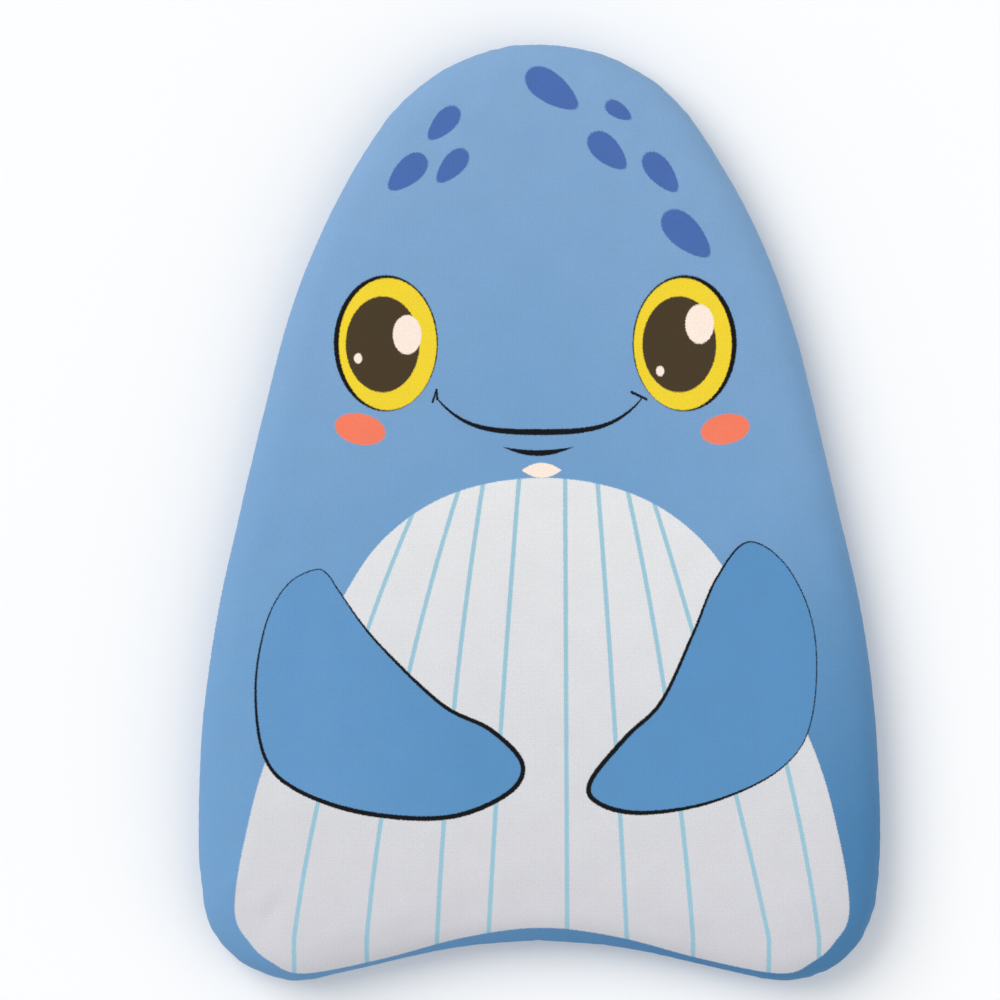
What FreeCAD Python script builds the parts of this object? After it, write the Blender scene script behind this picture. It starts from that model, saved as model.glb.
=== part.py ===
import FreeCAD, Part
import math
import os

# A child's kickboard float: a laminated foam board in a fitted cloth cover.
# It lies on its back. X runs across it, +Y points to the nose and +Z is the face
# that is looked at. The origin is under the middle of the board, on the floor.

# The outline, as seen from above.
board_length = 440.0
board_width = 320.0
nose_radius = 90.0
nose_half_angle = math.radians(55.0)
shoulder_radius = 330.0
hip_radius = 510.0
hip_station = 80.0            # from the tail's lowest points up to the widest place
tail_corner_radius = 46.0
tail_notch_depth = 19.5
tail_straight = 44.0           # each side of the notch, between its arc and the corner's

# The section through the board.
board_thickness = 32.0
rim_radius = 14.0             # rounding of the edge, above and below the seam
rim_upright = 3.0             # least height left upright for the seam
plank_names = ("back", "middle", "front")

# The cover, its soft lining and its sewing.
cover_cloth = 0.7
lining_foam = 2.0
seam_allowance = 8.0
seam_setback = 1.5            # from the fold of the cloth to the line of stitches
thread = 0.5
overlock_width = 4.0
closing_width = 200.0         # the opening at the tail that the foam goes in through
closing_pitch = 6.0
closing_stitch = (0.9, 2.6)   # width and height of one stitch

# Each layer of cloth is one thickness further in from the board's surface.
middle = board_thickness / 2
rim_round = min(rim_radius, (board_thickness - rim_upright) / 2)
back_allowance_depth = 2 * cover_cloth
front_allowance_depth = 3 * cover_cloth
seam_depth = front_allowance_depth + thread
core_depth = cover_cloth + lining_foam
allowance_end = middle - seam_allowance
seam_end = allowance_end - thread


def direction(angle):
    """Unit vector in the plane of the board."""
    return FreeCAD.Vector(math.cos(angle), math.sin(angle), 0)


def tangent_normal(start, end, reach):
    """Unit vector whose component along the line from start to end adds up to reach."""
    line = end - start
    return direction(math.atan2(line.y, line.x) + math.acos(reach / line.Length))


def tail_notch_radius(corner_x):
    """Radius that leaves the straight stretch its length, with the corners corner_x out."""
    rise = tail_notch_depth * (2 * tail_corner_radius - tail_notch_depth)
    return (corner_x ** 2 - tail_straight ** 2 - rise) / (2 * tail_notch_depth)


def arc(centre, radius, first, last, side):
    """Arc of the outline between two unit vectors, mirrored when side is -1."""
    half_way = (first + last).normalize()
    ends = [centre + unit * radius for unit in (first, half_way, last)]
    return Part.Arc(*[FreeCAD.Vector(side * p.x, p.y, 0) for p in ends]).toShape()


def straight(start, end, side):
    """Straight stretch of the outline, mirrored when side is -1."""
    ends = [FreeCAD.Vector(side * p.x, p.y, 0) for p in (start, end)]
    return Part.LineSegment(*ends).toShape()


def outline(inset):
    """The board's outline as tangent arcs and lines, moved inwards by inset."""
    tail = -board_length / 2
    nose = FreeCAD.Vector(0, board_length / 2 - nose_radius, 0)
    nose_end = direction(math.pi / 2 - nose_half_angle)
    shoulder = nose - nose_end * (shoulder_radius - nose_radius)
    hip = FreeCAD.Vector(board_width / 2 - hip_radius, tail + hip_station, 0)
    corner_y = tail + tail_corner_radius
    corner_x = hip.x + math.sqrt((hip_radius - tail_corner_radius) ** 2 - (corner_y - hip.y) ** 2)
    corner = FreeCAD.Vector(corner_x, corner_y, 0)
    notch_radius = tail_notch_radius(corner_x)
    notch = FreeCAD.Vector(0, tail + tail_notch_depth - notch_radius, 0)

    flank = tangent_normal(shoulder, hip, shoulder_radius - hip_radius)
    hip_end = (corner - hip).normalize()
    tail_edge = tangent_normal(corner, notch, tail_corner_radius + notch_radius)
    notch_end = tail_edge * -1

    shoulder_r = shoulder_radius - inset
    hip_r = hip_radius - inset
    corner_r = tail_corner_radius - inset
    notch_r = notch_radius + inset
    up = FreeCAD.Vector(0, 1, 0)
    edges = []
    for side in (1, -1):
        edges.append(arc(nose, nose_radius - inset, up, nose_end, side))
        edges.append(arc(shoulder, shoulder_r, nose_end, flank, side))
        edges.append(straight(shoulder + flank * shoulder_r, hip + flank * hip_r, side))
        edges.append(arc(hip, hip_r, flank, hip_end, side))
        edges.append(arc(corner, corner_r, hip_end, tail_edge, side))
        edges.append(straight(corner + tail_edge * corner_r, notch + notch_end * notch_r, side))
        edges.append(arc(notch, notch_r, notch_end, up, side))
    return Part.Wire(Part.__sortEdges__(edges))


def board(inset):
    """The rounded board, with its whole surface moved inwards by inset."""
    height = board_thickness - 2 * inset
    solid = Part.Face(outline(inset)).extrude(FreeCAD.Vector(0, 0, height))
    solid.translate(FreeCAD.Vector(0, 0, inset))
    rims = [edge for edge in solid.Edges if edge.BoundBox.ZLength < 0.001]
    return solid.makeFillet(rim_round - inset, rims)


def slab(low, high, width=board_width * 2, x=0.0):
    """A flat block across the board, used to keep what lies between two heights."""
    length = board_length * 2
    corner = FreeCAD.Vector(x - width / 2, -length / 2, low)
    return Part.makeBox(width, length, high - low, corner)


def layer(outer, inner, low, high):
    """What lies between two depths under the board's surface and between two heights."""
    return board(outer).cut(board(inner)).common(slab(low, high))


def front_cover():
    """The printed panel, with its seam allowance folded back inside the other panel."""
    panel = layer(0, cover_cloth, middle, board_thickness)
    fold = layer(cover_cloth, front_allowance_depth, middle, middle + cover_cloth)
    allowance = layer(back_allowance_depth, front_allowance_depth, allowance_end, middle)
    return panel.fuse([fold, allowance]).removeSplitter()


def back_cover():
    """The plain panel, doubled along the rim by its own seam allowance."""
    panel = layer(0, cover_cloth, 0, middle)
    allowance = layer(cover_cloth, back_allowance_depth, allowance_end, middle)
    return panel.fuse(allowance).removeSplitter()


def rim_seam_thread():
    """The line of lock stitches that joins the two allowances, as one fine band."""
    top = middle - seam_setback
    return layer(front_allowance_depth, seam_depth, top - thread, top)


def overlock_thread():
    """The edge binding of thread that runs round both cut edges of the allowances."""
    face = layer(front_allowance_depth, seam_depth, allowance_end, allowance_end + overlock_width)
    edge = layer(cover_cloth, seam_depth, seam_end, allowance_end)
    return face.fuse(edge).removeSplitter()


def closing_stitches():
    """Hand stitches over the seam at the tail, where the cover is closed round the foam."""
    width, height = closing_stitch
    low = middle - height / 2
    band = board(-thread).cut(board(0)).common(slab(low, low + height))
    count = int(closing_width / closing_pitch / 2)
    tail_side = Part.makeBox(board_width * 2, board_length, board_thickness)
    tail_side.translate(FreeCAD.Vector(-board_width, -board_length, 0))
    band = band.common(tail_side)
    stitches = []
    for place in range(-count, count + 1):
        stitches.append(band.common(slab(0, board_thickness, width, place * closing_pitch)))
    return Part.makeCompound([solid for stitch in stitches for solid in stitch.Solids])


def core_planks():
    """The foam, hollowed along the rim for the seam and split into its glued planks."""
    seam = layer(cover_cloth, seam_depth, seam_end, middle + cover_cloth)
    core = board(core_depth).cut(seam)
    height = (board_thickness - 2 * core_depth) / len(plank_names)
    planks = {}
    for number, name in enumerate(plank_names):
        low = core_depth + number * height
        planks["core_plank_" + name] = core.common(slab(low, low + height))
    return planks


nodes = core_planks()
nodes["front_lining"] = layer(cover_cloth, core_depth, middle + cover_cloth, board_thickness)
nodes["back_lining"] = layer(cover_cloth, core_depth, 0, seam_end)
nodes["front_cover"] = front_cover()
nodes["back_cover"] = back_cover()
nodes["rim_seam_thread"] = rim_seam_thread()
nodes["overlock_thread"] = overlock_thread()
nodes["closing_stitches"] = closing_stitches()

os.makedirs("parts", exist_ok=True)
for name, shape in nodes.items():
    shape.exportStep(os.path.join("parts", name + ".step"))
    box = shape.BoundBox
    size = (round(box.XLength, 1), round(box.YLength, 1), round(box.ZLength, 1))
    print(name, len(shape.Solids), "solid(s)", size, "valid", shape.isValid())
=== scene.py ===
# %% [markdown]
# # A child's kickboard float
# A foam board in a sewn cloth cover. The solid model gives the size and the place of
# every piece, and this file gives them their cloth, print, thread and foam.

# %% Load the frame
import math
import bmesh
import bpy
import numpy as np
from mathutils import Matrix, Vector, geometry, kdtree, noise


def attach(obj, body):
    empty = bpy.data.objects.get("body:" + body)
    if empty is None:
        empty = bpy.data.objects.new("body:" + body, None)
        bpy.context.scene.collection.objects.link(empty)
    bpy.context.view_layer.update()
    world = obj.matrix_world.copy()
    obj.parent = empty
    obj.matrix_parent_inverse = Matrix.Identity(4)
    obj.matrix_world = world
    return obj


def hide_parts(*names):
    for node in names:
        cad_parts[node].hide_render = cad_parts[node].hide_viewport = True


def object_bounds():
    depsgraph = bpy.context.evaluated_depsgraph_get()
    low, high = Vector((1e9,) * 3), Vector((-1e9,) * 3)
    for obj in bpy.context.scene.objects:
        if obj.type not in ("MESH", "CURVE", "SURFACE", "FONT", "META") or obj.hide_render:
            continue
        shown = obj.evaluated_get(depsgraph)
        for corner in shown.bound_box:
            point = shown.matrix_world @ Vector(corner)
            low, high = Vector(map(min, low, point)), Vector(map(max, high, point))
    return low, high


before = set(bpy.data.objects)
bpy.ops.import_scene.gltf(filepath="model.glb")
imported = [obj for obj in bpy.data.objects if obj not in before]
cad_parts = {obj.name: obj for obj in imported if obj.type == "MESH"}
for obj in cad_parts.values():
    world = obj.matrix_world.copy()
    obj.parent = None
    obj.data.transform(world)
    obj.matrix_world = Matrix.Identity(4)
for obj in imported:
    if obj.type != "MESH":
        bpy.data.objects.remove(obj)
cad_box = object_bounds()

MM = 0.001
WIDTH, LENGTH, THICKNESS = [round((cad_box[1][k] - cad_box[0][k]) / MM) for k in range(3)]
MIDDLE = THICKNESS / 2

# %% [markdown]
# ## The outline
# The board is drawn like a pattern for sawing: round nose, full shoulders, almost
# straight flanks, round tail corners and a shallow notch. All of them are arcs that
# meet without a corner. It could be a Bezier curve, but arcs give exact outward
# directions, and every layer of the cover is this outline moved along them.

# %% Driving sizes of the outline, in millimetres
NOSE_R, NOSE_HALF_ANGLE = 90.0, math.radians(55)
SHOULDER_R = 330.0
HIP_R, HIP_STATION = 510.0, 80.0
CORNER_R = 46.0
NOTCH_DEPTH, TAIL_STRAIGHT = 19.5, 44.0
RIM_R = 14.0
ARC_STEPS = 200


def unit(angle):
    return np.array([math.cos(angle), math.sin(angle)])


def angle_of(vector):
    return math.atan2(vector[1], vector[0])


def tangent_angle(start, end, reach):
    """Angle of the normal of a line that touches two circles."""
    line = end - start
    return angle_of(line) + math.acos(reach / np.linalg.norm(line))


# %% The right half, from the nose down to the notch
def half_outline():
    """Points of the right half with their outward directions."""
    tail = -LENGTH / 2
    nose = np.array([0, LENGTH / 2 - NOSE_R])
    nose_end = math.pi / 2 - NOSE_HALF_ANGLE
    shoulder = nose - unit(nose_end) * (SHOULDER_R - NOSE_R)
    hip = np.array([WIDTH / 2 - HIP_R, tail + HIP_STATION])
    corner_y = tail + CORNER_R
    corner_x = hip[0] + math.sqrt((HIP_R - CORNER_R) ** 2 - (corner_y - hip[1]) ** 2)
    corner = np.array([corner_x, corner_y])
    rise = NOTCH_DEPTH * (2 * CORNER_R - NOTCH_DEPTH)
    notch_r = (corner_x ** 2 - TAIL_STRAIGHT ** 2 - rise) / (2 * NOTCH_DEPTH)
    notch = np.array([0, tail + NOTCH_DEPTH - notch_r])
    flank = tangent_angle(shoulder, hip, SHOULDER_R - HIP_R)
    hip_end = angle_of(corner - hip)
    tail_edge = tangent_angle(corner, notch, CORNER_R + notch_r)
    if tail_edge > math.pi:
        tail_edge -= 2 * math.pi
    arcs = [
        (nose, NOSE_R, math.pi / 2, nose_end, 1),
        (shoulder, SHOULDER_R, nose_end, flank, 1),
        (hip, HIP_R, flank, hip_end, 1),
        (corner, CORNER_R, hip_end, tail_edge, 1),
        (notch, notch_r, tail_edge + math.pi, math.pi / 2, -1),
    ]
    points, normals = [], []
    for centre, radius, first, last, outward in arcs:
        for angle in np.linspace(first, last, ARC_STEPS):
            points.append(centre + radius * unit(angle))
            normals.append(outward * unit(angle))
    return np.array(points), np.array(normals)


def outline(half_count):
    """The whole outline as even points, their normals and their distance along it."""
    points, normals = half_outline()
    along = np.concatenate([[0], np.cumsum(np.linalg.norm(np.diff(points, axis=0), axis=1))])
    even = np.linspace(0, along[-1], half_count + 1)
    p = np.stack([np.interp(even, along, points[:, k]) for k in (0, 1)], 1)
    n = np.stack([np.interp(even, along, normals[:, k]) for k in (0, 1)], 1)
    mirror = np.array([-1, 1])
    p = np.concatenate([p, p[-2:0:-1] * mirror])
    n = np.concatenate([n, n[-2:0:-1] * mirror])
    n /= np.linalg.norm(n, axis=1)[:, None]
    return p, n, np.arange(len(p)) * along[-1] / half_count


print("outline runs", round(outline(600)[2][-1]), "mm round the board")

# %% [markdown]
# ## The skin, before it is stuffed
# The cover is one closed skin to begin with: an even loop along the seam, rings that
# climb the rounded rim, and a lattice of triangles on each face. It starts a little
# thin, because stuffing swells its faces, and a little wide, because sewing and stuffing
# draw its rim in. A voxel remesh would lose the seam's loop, which the sewing needs, so
# the mesh is laid out instead.

# %% Rings and faces of the skin
PLAN_EASE, FACE_EASE = -1.0, 0.45
SEAM_HALF_COUNT = 180
RING_DISTANCES = (1.2, 3.0, 5.5, 8.5, 12.0, 16.0, 20.0)
LATTICE, LATTICE_CLEAR = 5.0, 0.6
CLOSEST = 0.0001


def rim_place(distance):
    """(inset, height over the seam) at a distance along the cloth from the seam."""
    upright = MIDDLE - RIM_R
    if distance <= upright:
        return 0.0, distance
    angle = (distance - upright) / RIM_R
    return RIM_R * (1 - math.cos(angle)), upright + RIM_R * math.sin(angle)


def face_lattice(loop):
    """Points and triangles that fill one flat face inside its edge loop."""
    low, high = loop.min(0), loop.max(0)
    row_height = LATTICE * math.sqrt(3) / 2
    ahead = np.roll(loop, -1, 0) - loop
    inner = []
    for row, y in enumerate(np.arange(low[1], high[1], row_height)):
        for x in np.arange(low[0] + (row % 2) * LATTICE / 2, high[0], LATTICE):
            crossing = (loop[:, 1] > y) != (np.roll(loop[:, 1], -1) > y)
            at = loop[:, 0] + (y - loop[:, 1]) / np.where(crossing, ahead[:, 1], 1) * ahead[:, 0]
            inside = np.count_nonzero(crossing & (at > x)) % 2
            clear = np.linalg.norm(loop - (x, y), axis=1).min() > LATTICE * LATTICE_CLEAR
            if inside and clear:
                inner.append((x, y))
    points = [Vector(p) for p in loop] + [Vector(p) for p in inner]
    rim = [(k, (k + 1) % len(loop)) for k in range(len(loop))]
    found = geometry.delaunay_2d_cdt(points, rim, [], 1, CLOSEST)
    assert len(found[0]) == len(points)
    return inner, found[2]


def make_skin():
    """The closed skin: front faces in slot 0, back faces in slot 1, seam points first."""
    edge, normal, _ = outline(SEAM_HALF_COUNT)
    edge = edge - normal * PLAN_EASE
    full = (MIDDLE - FACE_EASE) / MIDDLE
    rings = [rim_place(d) for d in RING_DISTANCES]
    rings.append((RIM_R, MIDDLE))
    count = len(edge)
    inner, triangles = face_lattice(edge - normal * RIM_R)
    verts = [(x, y, MIDDLE) for x, y in edge]
    faces, sides = [], []
    for side in (1, -1):
        before = list(range(count))
        for inset, height in rings:
            start = len(verts)
            z = MIDDLE + side * height * full
            verts += [(x, y, z) for x, y in edge - normal * inset]
            ring = list(range(start, start + count))
            for k in range(count):
                after = (k + 1) % count
                faces.append((before[k], before[after], ring[after], ring[k]))
            before = ring
        start = len(verts)
        verts += [(x, y, MIDDLE + side * MIDDLE * full) for x, y in inner]
        where = before + list(range(start, start + len(inner)))
        faces += [tuple(where[k] for k in triangle) for triangle in triangles]
        sides += [0 if side == 1 else 1] * (len(faces) - len(sides))
    mesh = bpy.data.meshes.new("skin")
    mesh.from_pydata([Vector(v) * MM for v in verts], [], faces)
    mesh.polygons.foreach_set("material_index", sides)
    work = bmesh.new()
    work.from_mesh(mesh)
    bmesh.ops.recalc_face_normals(work, faces=work.faces)
    work.to_mesh(mesh)
    work.free()
    skin = bpy.data.objects.new("skin", mesh)
    bpy.context.scene.collection.objects.link(skin)
    return skin, count


skin, seam_count = make_skin()
print("skin has", len(skin.data.vertices), "points, seam loop of", seam_count)

# %% [markdown]
# ## Stuffing the cover
# Cloth stretched over foam bellies out between its seams. The Cloth modifier gives each
# point's direction: pressure inside, no gravity, and the seam loop pinned. It overshoots
# by far, and foam is stiff, so every move is eased off towards a small limit. Most of
# the swelling's shape comes from that limit, and the faces stay nearly flat.

# %% Cloth simulation, with its swelling limited
SWELL_LIMIT = 1.5
SIM_FRAMES, SIM_QUALITY = 20, 5
CLOTH_MASS, STUFFING_PRESSURE = 0.2, 4


def points_of(mesh):
    """The mesh's points as an array, in millimetres."""
    flat = np.zeros(len(mesh.vertices) * 3)
    mesh.vertices.foreach_get("co", flat)
    return flat.reshape(-1, 3) / MM


def set_points(mesh, points):
    mesh.vertices.foreach_set("co", (points * MM).ravel())
    mesh.update()


def evaluated_points(obj):
    found = obj.evaluated_get(bpy.context.evaluated_depsgraph_get())
    return points_of(found.data)


def stuff(obj, pinned):
    """Swells the skin by simulation and keeps the result in its mesh."""
    start = points_of(obj.data)
    seam = obj.vertex_groups.new(name="seam")
    seam.add(list(range(pinned)), 1.0, "REPLACE")
    cloth = obj.modifiers.new("cloth", "CLOTH")
    cloth.settings.quality = SIM_QUALITY
    cloth.settings.mass = CLOTH_MASS
    cloth.settings.use_pressure = True
    cloth.settings.uniform_pressure_force = STUFFING_PRESSURE
    cloth.settings.vertex_group_mass = "seam"
    cloth.settings.effector_weights.gravity = 0
    cloth.point_cache.frame_start, cloth.point_cache.frame_end = 1, SIM_FRAMES
    for step in range(1, SIM_FRAMES + 1):
        bpy.context.scene.frame_set(step)
        moved = evaluated_points(obj)
    obj.modifiers.remove(cloth)
    bpy.context.scene.frame_set(1)
    move = moved - start
    size = np.linalg.norm(move, axis=1)[:, None]
    eased = SWELL_LIMIT * np.tanh(size / SWELL_LIMIT) / np.maximum(size, 1e-9)
    set_points(obj.data, start + move * eased)
    print("stuffing moved the skin by", round(float(size.max()), 2), "mm, kept to", SWELL_LIMIT)


stuff(skin, seam_count)

# %% [markdown]
# ## Sewing: the groove and the puckers
# Sewing pulls the cloth in, so the seam sits in a groove, and each stitch gathers a
# little pucker that dies away over the rim. The puckers are strongest round the tail
# corners and the nose, where flat cloth is bent round a curve. They are moves of the
# points, not bump, so they show in the outline of the finished mesh.

# %% Distance from the seam, along it and over the rim
GROOVE_DEPTH, GROOVE_WIDTH = 1.5, 1.3
PUCKER_DEPTH, PUCKER_REACH = 0.27, 6.0
PUCKERS_ROUND = (163, 127, 211)
PUCKER_BIAS, PUCKER_START = 0.45, 0.9
WAVE_LIFT, WAVE_SPAN = 0.45, 55.0
RIPPLE_LIFT, RIPPLE_SPAN = 0.12, 17.0
FLAT_GATHER, BENT_GATHER = 0.55, 0.6
BEND_STEP, BEND_BLUR = 6, 40
FINE_HALF_COUNT = 1300
FLOOR_CLEAR = 0.05


def subdivided(obj):
    """The object's mesh with one level of subdivision, as a plain mesh."""
    level = obj.modifiers.new("finer", "SUBSURF")
    level.levels = level.render_levels = 1
    level.boundary_smooth = "PRESERVE_CORNERS"
    bpy.context.view_layer.update()
    found = obj.evaluated_get(bpy.context.evaluated_depsgraph_get())
    mesh = bpy.data.meshes.new_from_object(found)
    obj.modifiers.remove(level)
    return mesh


def seam_places(points):
    """Each point's inset in plan, fraction round the seam, distance over the cloth and outward way."""
    edge, normal, _ = outline(FINE_HALF_COUNT)
    tree = kdtree.KDTree(len(edge))
    for k, (x, y) in enumerate(edge):
        tree.insert((x, y, 0), k)
    tree.balance()
    near = np.array([tree.find((x, y, 0))[1] for x, y, _ in points])
    out = normal[near]
    inset = np.clip(((edge[near] - points[:, :2]) * out).sum(1), 0, None)
    height = np.abs(points[:, 2] - MIDDLE)
    upright = MIDDLE - RIM_R
    turn = np.arctan2(np.clip(height - upright, 0, None), np.clip(RIM_R - inset, 1e-6, None))
    distance = np.where(height < upright, height, upright + RIM_R * turn)
    distance = np.where(inset > RIM_R, distance + inset - RIM_R, distance)
    return inset, near / len(edge), distance, out


def gathering(place):
    """How strongly the cloth gathers: most at the corners and the nose, least on the flanks."""
    _, normal, _ = outline(FINE_HALF_COUNT)
    ahead, behind = np.roll(normal, -BEND_STEP, 0), np.roll(normal, BEND_STEP, 0)
    bend = np.linalg.norm(ahead - behind, axis=1)
    blur = np.ones(2 * BEND_BLUR + 1) / (2 * BEND_BLUR + 1)
    bend = np.convolve(np.concatenate([bend[-BEND_BLUR:], bend, bend[:BEND_BLUR]]), blur, "valid")
    bend = bend / bend.max()
    return FLAT_GATHER + BENT_GATHER * bend[(place * len(bend)).astype(int) % len(bend)]


# %% Work the sewing into the skin
def sew(mesh):
    """Adds the groove, the puckers and slow waves."""
    points = points_of(mesh)
    flat = np.zeros(len(points) * 3)
    mesh.vertices.foreach_get("normal", flat)
    facing = flat.reshape(-1, 3)
    inset, place, distance, out = seam_places(points)
    turn = 2 * math.pi * place
    wave = sum(np.sin(k * turn + 1.7 * k) for k in PUCKERS_ROUND) / len(PUCKERS_ROUND)
    uneven = 0.75 + 0.25 * np.sin(7 * turn + 0.6) * np.sin(11 * turn + 2.0)
    fade = np.exp(-distance / PUCKER_REACH) * (1 - np.exp(-distance / PUCKER_START))
    pucker = PUCKER_DEPTH * (wave - PUCKER_BIAS) * uneven * gathering(place) * fade
    slow = np.array([noise.noise(Vector(p) / WAVE_SPAN) for p in points])
    elsewhere = Vector((9, 4, 2))
    fine = np.array([noise.noise(Vector(p) / RIPPLE_SPAN + elsewhere) for p in points])
    lift = pucker + WAVE_LIFT * slow + RIPPLE_LIFT * fine
    points += facing * lift[:, None]
    groove = GROOVE_DEPTH * np.exp(-(np.abs(points[:, 2] - MIDDLE) / GROOVE_WIDTH) ** 2)
    points[:, :2] -= out * (groove * (inset < RIM_R))[:, None]
    points[:, 2] = np.maximum(points[:, 2], FLOOR_CLEAR)
    set_points(mesh, points)
    deepest = round(float(np.abs(pucker).max()), 2)
    print("sewn skin has", len(points), "points; puckers to", deepest, "mm")


sewn = subdivided(skin)
sew(sewn)
bpy.data.objects.remove(skin)

# %% [markdown]
# ## Two panels
# The skin is cut along the seam loop into a front and a back panel. Each panel's edge
# turns in at the seam, as sewn cloth does, and gets the cloth's real thickness with
# Solidify. The wrong side of the cloth is a material of its own, because printed cloth
# is white inside.

# %% Cut, turn in and thicken a panel
TURN_IN, EDGE_GAP, CLOTH = 0.9, 0.05, 0.7
RIM_CLOTH = MIDDLE - RIM_R + RIM_R * math.pi / 2
LAYOUT_HALF, LAYOUT_WIDTH, LAYOUT_EDGE = 0.49, 0.97, 0.01


def cloth_plan(points):
    """Where each point lies when the cloth is spread flat, in millimetres."""
    inset, _, distance, out = seam_places(points)
    shift = inset + RIM_CLOTH - RIM_R - distance
    return points[:, :2] + out * shift[:, None]


def one_side(side):
    """The sewn skin's front faces, side 0, or its back faces, side 1."""
    work = bmesh.new()
    work.from_mesh(sewn)
    spare = [f for f in work.faces if f.material_index != side]
    bmesh.ops.delete(work, geom=spare, context="FACES")
    return work


def add_object(name, mesh):
    made = bpy.data.objects.new(name, mesh)
    bpy.context.scene.collection.objects.link(made)
    return made


def cut_panel(name, side):
    """One panel of the cover: side 0 is the front and side 1 the back."""
    up = 1 - 2 * side
    work = one_side(side)
    edges = [e for e in work.edges if e.is_boundary]
    for vert in {v for e in edges for v in e.verts}:
        vert.co.z += up * EDGE_GAP * MM
    made = bmesh.ops.extrude_edge_only(work, edges=edges)["geom"]
    work.verts.index_update()
    hem = [part.index for part in made if isinstance(part, bmesh.types.BMVert)]
    bmesh.ops.recalc_face_normals(work, faces=work.faces)
    if sum(f.normal.z * f.calc_area() for f in work.faces) * up < 0:
        bmesh.ops.reverse_faces(work, faces=work.faces)
    for face in work.faces:
        face.smooth = True
        face.material_index = 0
    mesh = bpy.data.meshes.new(name)
    work.to_mesh(mesh)
    work.free()
    points = points_of(mesh)
    plan = cloth_plan(points)
    out = seam_places(points)[3]
    turned = np.isin(np.arange(len(points)), hem)
    plan[turned] += out[turned] * TURN_IN
    points[turned, :2] -= out[turned] * TURN_IN
    set_points(mesh, points)
    cloth = mesh.attributes.new("cloth", "FLOAT_VECTOR", "POINT")
    cloth.data.foreach_set("vector", np.c_[plan, np.zeros(len(plan))].ravel())
    return add_object(name, mesh)


def thicken(piece, thickness, materials):
    """Gives a sheet its thickness, inwards. A second material goes on its inner side."""
    for material in materials:
        piece.data.materials.append(material)
    solid = piece.modifiers.new("thickness", "SOLIDIFY")
    solid.thickness = thickness * MM
    solid.offset = -1
    solid.material_offset = solid.material_offset_rim = len(materials) - 1
    bpy.context.view_layer.update()
    found = piece.evaluated_get(bpy.context.evaluated_depsgraph_get())
    piece.data = bpy.data.meshes.new_from_object(found)
    piece.modifiers.clear()
    piece.data.name = piece.name


def lay_out(mesh):
    """A flat layout of the cloth for baking: right side large, wrong side small beside it."""
    plan = np.zeros(len(mesh.vertices) * 3)
    mesh.attributes["cloth"].data.foreach_get("vector", plan)
    plan = plan.reshape(-1, 3)[:, :2]
    half = np.abs(plan).max(0)
    scale = LAYOUT_HALF / half[1]
    small = (LAYOUT_WIDTH - 2 * half[0] * scale) / (2 * half[0])
    corner = np.zeros(len(mesh.loops), int)
    mesh.loops.foreach_get("vertex_index", corner)
    wrong = np.zeros(len(mesh.polygons), int)
    mesh.polygons.foreach_get("material_index", wrong)
    sizes = np.zeros(len(mesh.polygons), int)
    mesh.polygons.foreach_get("loop_total", sizes)
    wrong = np.repeat(wrong, sizes)[:, None]
    right_side = (plan[corner] + half) * scale + LAYOUT_EDGE
    beside = (2 * half[0] * scale + 2 * LAYOUT_EDGE, LAYOUT_EDGE)
    wrong_side = (plan[corner] + half) * small + beside
    layout = mesh.uv_layers.new(name="OFBake")
    layout.data.foreach_set("uv", np.where(wrong == 0, right_side, wrong_side).ravel())


front_panel = cut_panel("front_panel", 0)
back_panel = cut_panel("back_panel", 1)

# %% The soft lining behind each panel
LINING_MARGIN, LINING_GAP, LINING = 3.0, 0.05, 1.6


def cut_lining(name, side):
    """A sheet of thin foam bonded behind one panel, which stops short of the seam."""
    work = one_side(side)
    work.verts.index_update()
    distance = seam_places(np.array([v.co / MM for v in work.verts]))[2]
    spare = [f for f in work.faces if min(distance[v.index] for v in f.verts) < LINING_MARGIN]
    bmesh.ops.delete(work, geom=spare, context="FACES")
    work.normal_update()
    for vert in work.verts:
        vert.co -= vert.normal * ((CLOTH + LINING_GAP) * MM)
    for face in work.faces:
        face.smooth = True
        face.material_index = 0
    mesh = bpy.data.meshes.new(name)
    work.to_mesh(mesh)
    work.free()
    return add_object(name, mesh)


front_foam = cut_lining("front_soft_lining", 0)
back_foam = cut_lining("back_soft_lining", 1)
print("panels have", len(front_panel.data.polygons), "and", len(back_panel.data.polygons), "faces")

# %% [markdown]
# ## The printed whale: its free shapes
# The front is printed with a whale. Its belly and flippers are free shapes, each a
# smooth closed line through a few points, in millimetres from the middle of the
# board. An image texture would be the usual way. Here every point of the mesh stores
# its distance from the printed edge, so the edge stays sharp at any size.

# %% Belly and flippers
BELLY_HALF = [
    (0, 16), (38, 10), (68, -7), (91, -36), (126, -108), (139, -152),
    (144, -187), (137, -202), (127, -211), (112, -216.5), (76, -210), (36, -199.5),
]
BELLY_SHIFT, NOTCH_HEM = 1.2, (0, -195)
LEFT_FLIPPER = [
    (-105, -27), (-118, -34), (-128, -52), (-133, -82), (-129, -114), (-114, -130), (-82, -141),
    (-43, -143), (-15, -132), (-8, -118), (-23, -102), (-46, -90), (-77, -60), (-94, -37), (-99, -29.5),
]
RIGHT_FLIPPER = [
    (98, -14), (117, -27), (129, -58), (127, -99), (112, -121), (80, -136), (47, -141),
    (27, -136), (24, -126), (41, -105), (57, -89), (72, -57), (83, -31),
]


def closed_curve(points, steps=12):
    """A smooth closed line through the points."""
    here = np.array(points, float)
    before, after, later = np.roll(here, 1, 0), np.roll(here, -1, 0), np.roll(here, -2, 0)
    t = (np.arange(steps) / steps)[:, None, None]
    line = here + (after - before) * t / 2
    line = line + (2 * before - 5 * here + 4 * after - later) * t ** 2 / 2
    line = line + (3 * here - before - 3 * after + later) * t ** 3 / 2
    return line.transpose(1, 0, 2).reshape(-1, 2)


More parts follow.
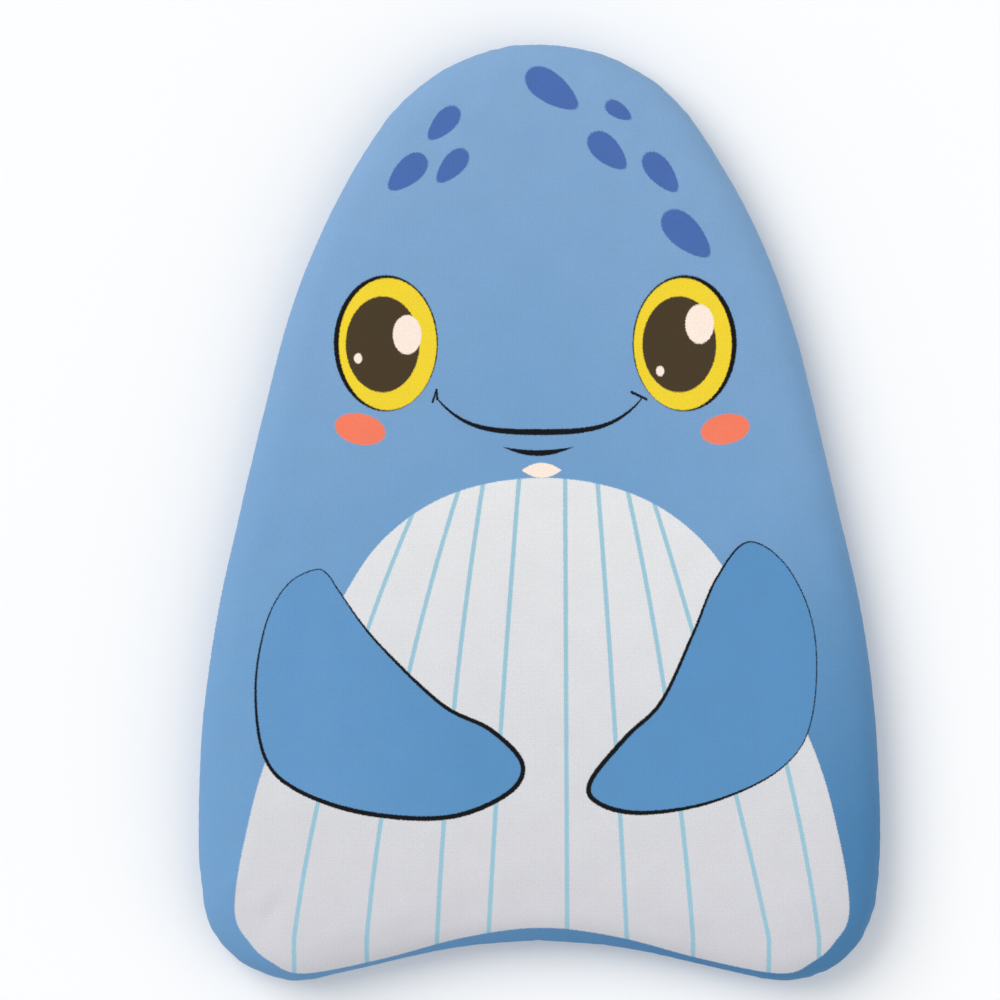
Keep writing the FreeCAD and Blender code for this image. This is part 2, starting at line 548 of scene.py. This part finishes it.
def distance_from(line, points):
    """Each point's distance from a closed line, negative inside, and its nearest piece of line."""
    best = np.full(len(points), 1e9)
    nearest = np.zeros(len(points), int)
    inside = np.zeros(len(points), bool)
    for k, (start, end) in enumerate(zip(line, np.roll(line, -1, 0))):
        step = end - start
        away = points - start
        share = np.clip(away @ step / (step @ step), 0, 1)
        gap = np.linalg.norm(away - share[:, None] * step, axis=1)
        closer = gap < best
        best[closer], nearest[closer] = gap[closer], k
        if start[1] != end[1]:
            spans = (start[1] > points[:, 1]) != (end[1] > points[:, 1])
            crossing = start[0] + (points[:, 1] - start[1]) * step[0] / step[1]
            inside ^= spans & (points[:, 0] < crossing)
    return np.where(inside, -best, best), nearest


def pen_width(line, thin_end, thick_end):
    """Half the width of an inked line, which swells from its thin end to its thick end."""
    reach = np.subtract(thick_end, thin_end)
    share = (line - np.array(thin_end)) @ reach / (reach @ reach)
    return PEN_THIN + (PEN_THICK - PEN_THIN) * np.clip(share, 0, 1)


def store(mesh, name, values):
    mesh.attributes.new(name, "FLOAT", "POINT").data.foreach_set("value", values)


PEN_THIN, PEN_THICK = 0.27, 1.15
FLIPPERS = {
    "left": (LEFT_FLIPPER, (-100, -28), (-60, -130)),
    "right": (RIGHT_FLIPPER, (120, -108), (37, -119)),
}


def place_print(mesh):
    """Stores how far each point is from the belly's and the flippers' edges."""
    points = points_of(mesh)[:, :2]
    belly = BELLY_HALF + [NOTCH_HEM] + [(-x, y) for x, y in BELLY_HALF[:0:-1]]
    belly = [(x + BELLY_SHIFT, y) for x, y in belly]
    store(mesh, "belly", distance_from(closed_curve(belly), points)[0])
    for name, (shape, thin_end, thick_end) in FLIPPERS.items():
        line = closed_curve(shape)
        gap, nearest = distance_from(line, points)
        store(mesh, name + "_flipper", gap)
        store(mesh, name + "_pen", pen_width(line, thin_end, thick_end)[nearest])


place_print(front_panel.data)
print("print stored as", [a.name for a in front_panel.data.attributes if a.data_type == "FLOAT"])

# %% [markdown]
# ## Writing shaders as sums
# A finish is a tree of nodes. To keep the maths readable, one small class wraps a
# socket, so that `a * 2 + b` adds the Math nodes for it. Everything else comes from
# one method that takes the node's type, its settings and its inputs.


# %% A socket that can be worked on, and a finish that holds the nodes
class Signal:
    """A shader socket, for use in expressions."""

    def __init__(self, finish, socket):
        self.finish, self.socket = finish, socket

    def math(self, operation, *others, clamp=False):
        settings = {"operation": operation, "use_clamp": clamp}
        return self.finish.node("ShaderNodeMath", settings, dict(enumerate((self, *others))))

    def __add__(self, other):
        return self.math("ADD", other)

    def __mul__(self, other):
        return self.math("MULTIPLY", other)

    def __sub__(self, other):
        return self.math("SUBTRACT", other)

    def __rsub__(self, other):
        return self * -1 + other

    def __truediv__(self, other):
        return self.math("DIVIDE", other)

    __radd__, __rmul__ = __add__, __mul__

    def size(self):
        return self.math("ABSOLUTE")

    def root(self):
        return self.math("SQRT")

    def sine(self):
        return self.math("SINE")

    def clamped(self):
        return self.math("ADD", 0.0, clamp=True)

    def least(self, other):
        return self.math("MINIMUM", other)

    def most(self, other):
        return self.math("MAXIMUM", other)


class Finish:
    """A material, with short ways to add its nodes."""

    def __init__(self, name):
        self.material = bpy.data.materials.new(name)
        self.material.use_nodes = True
        self.tree = self.material.node_tree
        self.tree.nodes.clear()

    def node(self, kind, settings=None, values=None, out=0):
        """Adds a node: its settings, then its inputs, and gives back one output."""
        made = self.tree.nodes.new(kind)
        for key, value in (settings or {}).items():
            setattr(made, key, value)
        for key, value in (values or {}).items():
            if isinstance(value, Signal):
                self.tree.links.new(value.socket, made.inputs[key])
            else:
                made.inputs[key].default_value = value
        return Signal(self, made.outputs[out]) if made.outputs else made

    def attribute(self, name, out="Fac"):
        return self.node("ShaderNodeAttribute", {"attribute_name": name}, out=out)

    def place(self):
        """Object coordinates as three signals, in millimetres."""
        whole = self.node("ShaderNodeTexCoord", out="Object")
        return [self.node("ShaderNodeSeparateXYZ", {}, {0: whole}, k) * 1000 for k in range(3)]

    def noise(self, vector, scale, detail=2.0, rough=0.5):
        values = {"Vector": vector, "Scale": scale, "Detail": detail, "Roughness": rough}
        return self.node("ShaderNodeTexNoise", {}, values)

    def paint(self, under, over, mask):
        """One colour over another, as far as the mask says."""
        colours = [c if isinstance(c, Signal) else (*c, 1.0) for c in (under, over)]
        values = {0: mask, 6: colours[0], 7: colours[1]}
        return self.node("ShaderNodeMix", {"data_type": "RGBA"}, values, 2)

    def dimmed(self, colour, share):
        """A colour made darker evenly."""
        grey = self.node("ShaderNodeCombineColor", {}, {0: share, 1: share, 2: share})
        settings = {"data_type": "RGBA", "blend_type": "MULTIPLY"}
        return self.node("ShaderNodeMix", settings, {0: 1.0, 6: colour, 7: grey}, 2)

    def bump(self, height, depth, strength=1.0, below=None):
        """A bump whose height of 1 stands for a depth in metres."""
        values = {"Strength": strength, "Distance": depth, "Height": height}
        if below is not None:
            values["Normal"] = below
        return self.node("ShaderNodeBump", {}, values)

    def surface(self, **inputs):
        """Ends the tree in a Principled shader. Names use _ for a space."""
        values = {key.replace("_", " "): value for key, value in inputs.items()}
        shader = self.node("ShaderNodeBsdfPrincipled", {}, values)
        self.node("ShaderNodeOutputMaterial", {}, {"Surface": shader})
        return self.material


# %% [markdown]
# ## The cloth itself
# The cover is a fine plain weave: threads over and under each other a little under a
# millimetre apart, with thicker threads here and there. The weave follows the cloth,
# not the room, so it reads the flat pattern's own coordinates and wraps the rim.

# %% Weave height and slubs
THREAD_PITCH = 0.9
WANDER, WANDER_SCALE, SLUB_SCALE = 0.7, 0.35, 0.9


def weave(finish):
    """(height of the weave, uneven threads) from 0 to 1 over the cloth."""
    flat = finish.attribute("cloth", "Vector")
    across, along, _ = [finish.node("ShaderNodeSeparateXYZ", {}, {0: flat}, k) for k in range(3)]
    wander = finish.noise(flat, WANDER_SCALE, 3.0) - 0.5
    turn = math.pi / THREAD_PITCH
    warp = ((across + wander * WANDER) * turn).sine().size()
    weft = ((along + wander * WANDER) * turn).sine().size()
    over = (across * turn).sine() * (along * turn).sine() * 3
    side = (over + 0.5).clamped()
    height = warp * side + weft * (1 - side)
    slub = finish.noise(flat, SLUB_SCALE, 2.0)
    return height, slub


# %% [markdown]
# ## The printed whale: its round shapes
# Eyes, cheeks, spots, stripes and the smile are ellipses and short formulas, so they
# are drawn by the material itself. Each shape is a distance, negative inside, and one
# function turns a distance into a mask whose edge is a little uneven, as ink is when
# it soaks into cloth.

# %% Colours of the print, as light values, with a painted reflection and a painted shade in its blue
HEAD_REFLECTION_BLUE, BODY_BLUE, TAIL_SHADE_BLUE = (0.215, 0.375, 0.60), (0.160, 0.335, 0.575), (0.07, 0.215, 0.42)
LEFT_BLUE, RIGHT_BLUE = (0.125, 0.305, 0.56), (0.10, 0.275, 0.52)
WHITE_HIGH, WHITE_LOW = (0.775, 0.775, 0.785), (0.63, 0.625, 0.66)
SPOT_BLUE, STRIPE_BLUE = (0.066, 0.145, 0.41), (0.28, 0.53, 0.65)
YELLOW, PUPIL, GLINT = (0.88, 0.65, 0.03), (0.062, 0.040, 0.018), (0.97, 0.81, 0.70)
CHEEK, INK = (0.90, 0.205, 0.115), (0.004, 0.004, 0.005)

# %% Eyes, cheeks, spots (x, y, half width, half height, lean) and stripes (top x, tail x, bow)
EYE_HALF, RING_HALF, PUPIL_HALF = (24.4, 31.9), (22.9, 30.9), (17.3, 22.5)
GLINT_HALF, SPARK_HALF = (6.7, 9.2), (1.9, 2.4)
EYES = [
    {"side": -1, "eye": (-72, 79), "pupil": (-73.5, 78.5), "glint": (-62, 83), "spark": (-85, 72)},
    {"side": 1, "eye": (68, 79), "pupil": (65.5, 78.5), "glint": (75, 88), "spark": (56.5, 66)},
]
CHEEKS = [(-84, 38.8, 12, 7.2, -12), (87, 38.8, 11.5, 7, 11)]
SPOTS = [
    (6, 198, 14.5, 7, -36), (37, 188, 7, 3.6, -33), (32, 169, 11.5, 6, -44), (57, 159, 11.5, 5.6, -50),
    (69, 130, 14.5, 7.2, -44), (-45, 182, 10, 5, -133), (-62, 159, 11.5, 6, -137), (-41, 162, 10, 5, -132),
]
SPOT_POINT = 0.25
STRIPES = [
    (-52, -115, 0.14), (-36, -81, 0.14), (-26, -48, 0.14), (-9.5, -24, 0.05), (12, 13, 0),
    (27, 41, 0.05), (40, 72, 0.12), (50, 107.5, 0.05), (71, 131, 0.13),
]
STRIPE_HALF = 1.05
HOOKS = [
    ((-47.9, 52.8), (-48.2, 57.2), 0.55), ((-48.2, 57.2), (-50.1, 51.5), 0.5),
    ((43.2, 56.1), (50, 52.8), 0.65),
]
SMILE_HEIGHT, SMILE_HALF, SMILE_PEN = 37.4, 48, (1.15, 0.3)
SMILE_BOW, SMILE_CURL, SMILE_STEEPNESS = 0.0012, 0.00000245, 0.0000000001
SMILE_TAPER, LIP_TAPER, CHIN_TAPER = 2450, 276, 88
LIP_X, LIP_HEIGHT, LIP_BOW, LIP_HALF, LIP_PEN = -0.7, 27.6, 0.0105, 16.7, 1.4
CHIN_X, CHIN_HEIGHT, CHIN_HALF = 1, 19.5, 3.5
BELLY_TOP, BELLY_TAIL = 16, -200


def ellipse(x, y, middle_x, middle_y, half_width, half_height, lean=0, point=0):
    """Distance from an ellipse. With point above 0 its leaning end draws to a point."""
    c, s = math.cos(math.radians(lean)), math.sin(math.radians(lean))
    along = ((x - middle_x) * c + (y - middle_y) * s) / half_width
    across = ((y - middle_y) * c - (x - middle_x) * s) / half_height
    if point:
        across = across / (1 - along * point).most(0.05)
    return ((along * along + across * across).root() - 1) * min(half_width, half_height)


def stroke(x, y, start, end, half_width):
    """Distance from a short straight pen stroke with round ends."""
    step_x, step_y = end[0] - start[0], end[1] - start[1]
    length = step_x ** 2 + step_y ** 2
    share = (((x - start[0]) * step_x + (y - start[1]) * step_y) / length).clamped()
    away_x = x - share * step_x - start[0]
    away_y = y - share * step_y - start[1]
    return (away_x * away_x + away_y * away_y).root() - half_width


def draw_eye(finish, colour, ink, x, y, side, eye, pupil, glint, spark):
    """One eye: a dark line that is thicker outside, a yellow ring, a pupil and two glints."""
    layers = [
        (INK, ellipse(x, y, *eye, *EYE_HALF)),
        (YELLOW, ellipse(x, y, eye[0] - side * 0.9, eye[1] - 0.4, *RING_HALF)),
        (PUPIL, ellipse(x, y, *pupil, *PUPIL_HALF)),
        (GLINT, ellipse(x, y, *glint, *GLINT_HALF)),
        (GLINT, ellipse(x, y, *spark, *SPARK_HALF)),
    ]
    for shade, distance in layers:
        colour = finish.paint(colour, shade, ink(distance))
    return colour


def draw_mouth(finish, colour, ink, x, y):
    """A wide smile with hooked ends, a short lower lip and a light chin."""
    square = x * x
    curve = y - (square * SMILE_BOW + square * square * SMILE_CURL + SMILE_HEIGHT)
    steepness = 1 + square * square * square * SMILE_STEEPNESS
    half = (1 - square / SMILE_TAPER).most(0.0) * SMILE_PEN[0] + SMILE_PEN[1]
    smile = (curve.size() / steepness.root() - half).most(x.size() - SMILE_HALF)
    for start, end, pen in HOOKS:
        smile = smile.least(stroke(x, y, start, end, pen))
    off = x - LIP_X
    lip = (y - (off * off * LIP_BOW + LIP_HEIGHT)).size() - (1 - off * off / LIP_TAPER) * LIP_PEN
    lip = lip.most(off.size() - LIP_HALF)
    off = x - CHIN_X
    chin = (y - CHIN_HEIGHT).size() - (1 - off * off / CHIN_TAPER) * CHIN_HALF
    colour = finish.paint(colour, GLINT, ink(chin))
    return finish.paint(colour, INK, ink(smile.least(lip)))


def draw_belly(finish, colour, ink, x, y):
    """The pale belly with its fan of stripes."""
    fall = ((BELLY_TOP - y) / (BELLY_TOP - BELLY_TAIL)).clamped()
    bulge = fall * (1 - fall) * 4
    stripes = None
    for top, tail, bow in STRIPES:
        line = (x - (fall + bulge * bow) * (tail - top) - top).size() - STRIPE_HALF
        stripes = line if stripes is None else stripes.least(line)
    white = finish.paint(WHITE_HIGH, WHITE_LOW, fall)
    white = finish.paint(white, STRIPE_BLUE, ink(stripes) * 0.9)
    return finish.paint(colour, white, ink(finish.attribute("belly")))


def draw_flippers(finish, colour, ink, x):
    """Both flippers: blue inside, with an inked line that swells and thins."""
    shade = finish.paint(RIGHT_BLUE, LEFT_BLUE, ((x + 30) / -70).clamped())
    for side in FLIPPERS:
        gap = finish.attribute(side + "_flipper")
        colour = finish.paint(colour, shade, ink(gap))
        colour = finish.paint(colour, INK, ink(gap.size() - finish.attribute(side + "_pen")))
    return colour


# %% The front of the cover
def printed_cloth():
    """White woven cloth with the whale printed on it."""
    finish = Finish("printed_cloth")
    x, y, _ = finish.place()
    height, slub = weave(finish)
    flat = finish.attribute("cloth", "Vector")
    soak = (finish.noise(flat, 1.3, 1.0) - 0.5) * 0.9

    def ink(distance):
        return (0.5 - (distance + soak) / 0.5).clamped()

    # Painted reflection: the blue turns lighter towards the head and the upper sides, in cloudy patches,
    # where the clear wrapping film, which is not modelled, reflects light
    cloud = finish.noise(flat, 0.012, 2.0) - 0.5
    high = ((y + x.size() * 0.6 - 5) / 190 + cloud * 0.5).clamped()
    # Painted shade: the blue turns darker towards the lower right, away from the light at the upper left
    low = ((x * 0.7 - y - 70) / 190).clamped()
    colour = finish.paint(finish.paint(BODY_BLUE, HEAD_REFLECTION_BLUE, high), TAIL_SHADE_BLUE, low)
    for spot in SPOTS:
        colour = finish.paint(colour, SPOT_BLUE, ink(ellipse(x, y, *spot, point=SPOT_POINT)))
    colour = draw_belly(finish, colour, ink, x, y)
    colour = draw_flippers(finish, colour, ink, x)
    for eye, cheek in zip(EYES, CHEEKS):
        colour = draw_eye(finish, colour, ink, x, y, **eye)
        colour = finish.paint(colour, CHEEK, ink(ellipse(x, y, *cheek)))
    colour = draw_mouth(finish, colour, ink, x, y)
    worn = finish.noise(flat, 0.05, 4.0, 0.6)
    colour = finish.dimmed(colour, height * 0.16 + slub * 0.16 + worn * 0.10 + 0.79)
    normal = finish.bump(height * 0.7 + slub * 0.6, 0.00012)
    normal = finish.bump(finish.noise(flat, 0.03, 3.0), 0.0012, 0.5, below=normal)
    return finish.surface(
        Base_Color=colour, Roughness=0.62 + worn * 0.22, Normal=normal,
        Sheen_Weight=0.04, Sheen_Roughness=0.4, Specular_IOR_Level=0.14,
    )


# %% The wrong side, the back panel, thread and foam
def plain_weave(name, colour, lighter, sheen):
    """A woven cloth of one colour with uneven threads."""
    finish = Finish(name)
    height, slub = weave(finish)
    flat = finish.attribute("cloth", "Vector")
    worn = finish.noise(flat, 0.045, 4.0, 0.6)
    mixed = finish.paint(colour, lighter, (height * 0.35 + slub * 0.5 + worn * 0.4 - 0.25).clamped())
    normal = finish.bump(height * 0.7 + slub * 0.6, 0.00014)
    normal = finish.bump(finish.noise(flat, 0.03, 3.0), 0.0012, 0.5, below=normal)
    return finish.surface(
        Base_Color=mixed, Roughness=0.66 + worn * 0.22, Normal=normal,
        Sheen_Weight=sheen, Sheen_Roughness=0.4, Specular_IOR_Level=0.2,
    )


def thread_finish():
    """Twisted polyester thread."""
    finish = Finish("sewing_thread")
    x, y, z = finish.place()
    twist = ((x + y + z * 1.6) * 9).sine() * 0.5 + 0.5
    mixed = finish.paint((0.16, 0.33, 0.56), (0.30, 0.49, 0.72), twist)
    return finish.surface(
        Base_Color=mixed, Roughness=0.42 + twist * 0.2, Normal=finish.bump(twist, 0.00008),
        Sheen_Weight=0.2,
    )


def foam_finish(name, colour, darker, cell, depth):
    """Foam: small closed cells, a little darker where one is open."""
    finish = Finish(name)
    place = finish.node("ShaderNodeTexCoord", out="Object")
    cells = finish.node("ShaderNodeTexVoronoi", {}, {"Vector": place, "Scale": 1000 / cell})
    cloud = finish.noise(place, 30.0, 3.0)
    mixed = finish.paint(colour, darker, (cells * 0.6 + cloud * 0.5 - 0.2).clamped())
    return finish.surface(
        Base_Color=mixed, Roughness=0.78 + cells * 0.15, Normal=finish.bump(cells, depth),
    )


printed = printed_cloth()
white_inside = plain_weave("printed_cloth_inside", (0.74, 0.76, 0.78), (0.84, 0.85, 0.86), 0.05)
back_blue = plain_weave("plain_cloth", (0.105, 0.27, 0.50), (0.165, 0.345, 0.58), 0.08)
back_inside = plain_weave("plain_cloth_inside", (0.17, 0.35, 0.57), (0.24, 0.42, 0.64), 0.05)
thread = thread_finish()
lining = foam_finish("lining_foam", (0.80, 0.80, 0.77), (0.60, 0.60, 0.57), 0.7, 0.0003)
core = foam_finish("core_foam", (0.86, 0.87, 0.88), (0.68, 0.70, 0.73), 1.6, 0.0004)
thicken(front_panel, CLOTH, (printed, white_inside))
thicken(back_panel, CLOTH, (back_blue, back_inside))
lay_out(front_panel.data)
lay_out(back_panel.data)
thicken(front_foam, LINING, (lining,))
thicken(back_foam, LINING, (lining,))
print("printed cloth has", len(printed.node_tree.nodes), "nodes")

# %% [markdown]
# ## Stitches
# A seam is one stitch repeated some hundreds of times along a path, which is what
# Geometry Nodes do well. The tree takes the seam line, spaces points along it, puts a
# short bowed thread on each, leans it and makes it all real at the end. The same tree
# sews the fine seam round the rim and the wider hand-closed stretch at the tail.

# %% The stitching tree
STITCH_INPUTS = ("Pitch", "Thread", "Height", "Bow", "Lean", "Uneven")


def stitch_tree(name, material):
    """A Geometry Nodes tree that sews bowed threads along a line."""
    tree = bpy.data.node_groups.new(name, "GeometryNodeTree")
    tree.interface.new_socket("Geometry", in_out="OUTPUT", socket_type="NodeSocketGeometry")
    tree.interface.new_socket("Geometry", in_out="INPUT", socket_type="NodeSocketGeometry")
    for label in STITCH_INPUTS:
        tree.interface.new_socket(label, in_out="INPUT", socket_type="NodeSocketFloat")
    tree.interface.new_socket("Seed", in_out="INPUT", socket_type="NodeSocketInt")

    def node(kind, settings=None, values=None):
        made = tree.nodes.new(kind)
        for key, value in (settings or {}).items():
            setattr(made, key, value)
        for key, value in (values or {}).items():
            if isinstance(value, bpy.types.NodeSocket):
                tree.links.new(value, made.inputs[key])
            else:
                made.inputs[key].default_value = value
        return made.outputs

    def math_node(operation, first, second):
        return node("ShaderNodeMath", {"operation": operation}, {0: first, 1: second})[0]

    given = node("NodeGroupInput")
    line = node("GeometryNodeMeshToCurve", {}, {"Mesh": given["Geometry"]})["Curve"]
    evened = node(
        "GeometryNodeResampleCurve", {"mode": "LENGTH"}, {"Curve": line, "Length": given["Pitch"]}
    )
    spots = node("GeometryNodeCurveToPoints", {"mode": "EVALUATED"}, {"Curve": evened["Curve"]})
    outward = node(
        "ShaderNodeVectorMath", {"operation": "CROSS_PRODUCT"}, {0: (0, 0, 1), 1: spots["Tangent"]}
    )
    facing = node(
        "FunctionNodeAxesToRotation", {"primary_axis": "Z", "secondary_axis": "X"},
        {"Primary Axis": (0, 0, 1), "Secondary Axis": outward["Vector"]},
    )["Rotation"]
    chance = node(
        "FunctionNodeRandomValue", {"data_type": "FLOAT"}, {2: -1.0, 3: 1.0, "Seed": given["Seed"]}
    )[1]
    lean = math_node("ADD", given["Lean"], math_node("MULTIPLY", chance, given["Uneven"]))
    tip = node("ShaderNodeCombineXYZ", {}, {"X": lean})["Vector"]
    turned = node(
        "FunctionNodeRotateRotation", {"rotation_space": "LOCAL"}, {"Rotation": facing, "Rotate By": tip}
    )["Rotation"]
    half = math_node("MULTIPLY", given["Height"], 0.5)
    third = math_node("MULTIPLY", given["Height"], 0.3)
    ends = [
        node("ShaderNodeCombineXYZ", {}, {"Z": z})[0]
        for z in (half, math_node("MULTIPLY", half, -1.0))
    ]
    pulls = [
        node("ShaderNodeCombineXYZ", {}, {"X": given["Bow"], "Z": z})[0]
        for z in (third, math_node("MULTIPLY", third, -1.0))
    ]
    arch = node(
        "GeometryNodeCurvePrimitiveBezierSegment", {"mode": "POSITION"},
        {
            "Resolution": 5, "Start": ends[0], "Start Handle": pulls[0],
            "End Handle": pulls[1], "End": ends[1],
        },
    )[0]
    ring = node(
        "GeometryNodeCurvePrimitiveCircle", {"mode": "RADIUS"},
        {"Resolution": 6, "Radius": given["Thread"]},
    )[0]
    body = node(
        "GeometryNodeCurveToMesh", {}, {"Curve": arch, "Profile Curve": ring, "Fill Caps": True}
    )["Mesh"]
    smooth = node("GeometryNodeSetShadeSmooth", {}, {"Geometry": body})["Geometry"]
    sewn_on = node(
        "GeometryNodeInstanceOnPoints", {},
        {"Points": spots["Points"], "Instance": smooth, "Rotation": turned},
    )["Instances"]
    real = node("GeometryNodeRealizeInstances", {}, {"Geometry": sewn_on})["Geometry"]
    done = node("GeometryNodeSetMaterial", {}, {"Geometry": real, "Material": material})["Geometry"]
    node("NodeGroupOutput", {}, {"Geometry": done})
    return tree


def sew_line(name, path, sizes, seed):
    """Sews stitches along a path of points in millimetres and gives one plain mesh object."""
    guide = bpy.data.meshes.new(name + "_path")
    joins = [(k, k + 1) for k in range(len(path) - 1)]
    guide.from_pydata([Vector(p) * MM for p in path], joins, [])
    piece = add_object(name, guide)
    tree = stitch_tree(name, thread)
    sewing = piece.modifiers.new("stitches", "NODES")
    sewing.node_group = tree
    sockets = {s.name: s.identifier for s in tree.interface.items_tree if s.in_out == "INPUT"}
    for label, value in zip(STITCH_INPUTS, sizes):
        sewing[sockets[label]] = value
    sewing[sockets["Seed"]] = seed
    bpy.context.view_layer.update()
    found = piece.evaluated_get(bpy.context.evaluated_depsgraph_get())
    piece.data = bpy.data.meshes.new_from_object(found)
    piece.modifiers.clear()
    piece.data.name = name
    print(name, "has", len(piece.data.polygons), "faces")
    return piece


# %% Sew the rim and close the tail
THREAD_SINK, CLOSING_SINK = 0.35, 0.45
SEAM_INSET = PLAN_EASE + GROOVE_DEPTH + THREAD_SINK
CLOSING_INSET = PLAN_EASE + GROOVE_DEPTH + CLOSING_SINK
CLOSING_HALF, CLOSING_TOP = 100.0, BELLY_TAIL + 12
edge, normal, _ = outline(700)
seam_line = [(x, y, MIDDLE) for x, y in edge - normal * SEAM_INSET]
rim_stitches = sew_line(
    "rim_stitches", seam_line + seam_line[:1],
    (3.0 * MM, 0.22 * MM, 2.4 * MM, 0.5 * MM, 0.35, 0.12), seed=4,
)
tail = [
    (x, y, MIDDLE) for x, y in edge - normal * CLOSING_INSET
    if y < CLOSING_TOP and abs(x) < CLOSING_HALF
]
closing = sew_line(
    "closing_stitches_sewn", tail,
    (6.0 * MM, 0.4 * MM, 4.6 * MM, 0.7 * MM, -0.6, 0.1), seed=9,
)

# %% [markdown]
# ## Inside the cover
# The planks and the bound edges keep the shapes of the solid model. The cover hides
# the planks. The bound edges come through the back of the cover near its lower rim by up
# to 0.42 mm, and show there as a thin light line. That is a fault which isn't mended yet.

# %% Materials for the pieces inside
INSIDE = {
    "core_plank_front": core, "core_plank_middle": core, "core_plank_back": core,
    "overlock_thread": thread,
}
for name, material in INSIDE.items():
    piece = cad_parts[name]
    piece.data.materials.clear()
    piece.data.materials.append(material)

# %% [markdown]
# ## Floor, light and camera
# The board lies on a pale floor under a wide soft light from the upper left, a weaker
# one from the right and a pale sky. The camera looks straight down from far off, so
# the outline shows true.

# %% Floor
floor_finish = Finish("floor")
grain = floor_finish.noise(floor_finish.node("ShaderNodeTexCoord", out="Object"), 3.0, 2.0)
floor_material = floor_finish.surface(
    Base_Color=floor_finish.paint((0.955, 0.955, 0.955), (0.965, 0.965, 0.965), grain), Roughness=0.9,
)
FLOOR_HALF = 30.0
floor_mesh = bpy.data.meshes.new("floor")
floor_corners = [(-1, -1), (1, -1), (1, 1), (-1, 1)]
floor_mesh.from_pydata([(x * FLOOR_HALF, y * FLOOR_HALF, 0) for x, y in floor_corners], [], [(0, 1, 2, 3)])
floor_mesh.materials.append(floor_material)
floor = add_object("floor", floor_mesh)


# %% Lights and sky
def far_light(name, place, spread, strength):
    """A soft light from far away, so that the whole floor is lit alike."""
    light = bpy.data.lights.new(name, "SUN")
    light.angle = math.radians(spread)
    light.energy = strength
    lamp = bpy.data.objects.new(name, light)
    lamp.location = place
    lamp.rotation_euler = (-Vector(place)).to_track_quat("-Z", "Y").to_euler()
    bpy.context.scene.collection.objects.link(lamp)


far_light("key", (-1.3, 1.0, 1.7), 45, 1.42)
far_light("fill", (1.6, -0.7, 1.6), 60, 0.4)
sky = bpy.data.worlds.new("sky")
sky.use_nodes = True
sky.node_tree.nodes["Background"].inputs["Color"].default_value = (0.97, 0.985, 1.0, 1.0)
sky.node_tree.nodes["Background"].inputs["Strength"].default_value = 0.63
bpy.context.scene.world = sky
bpy.context.scene.view_settings.view_transform = "Standard"

# %% Camera
SIGHT_DISTANCE, SIGHT_WIDTH = 5.0, 0.4685
SIGHT_CENTRE = (-0.0185, 0.0056)
SENSOR = 36.0
camera_data = bpy.data.cameras.new("camera")
camera_data.sensor_width = SENSOR
camera_data.lens = SENSOR * SIGHT_DISTANCE / SIGHT_WIDTH
camera_data.clip_end = 20
camera = bpy.data.objects.new("camera", camera_data)
camera.location = (*SIGHT_CENTRE, THICKNESS * MM + SIGHT_DISTANCE)
bpy.context.scene.collection.objects.link(camera)
bpy.context.scene.camera = camera

# %% [markdown]
# ## Joining the frame
# Each piece rides on the one body and stands for its solid, whose own mesh is hidden.

# %% Put each piece on the body, hide its solid, and finish
for piece, node, slot in (
    (front_panel, "front_cover", "printed_cloth"),
    (back_panel, "back_cover", "plain_cloth"),
    (front_foam, "front_lining", "lining_foam"),
    (back_foam, "back_lining", "lining_foam"),
    (rim_stitches, "rim_seam_thread", "sewing_thread"),
    (closing, "closing_stitches", "sewing_thread"),
):
    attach(piece, "root")
    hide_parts(node)
bpy.data.meshes.remove(sewn)
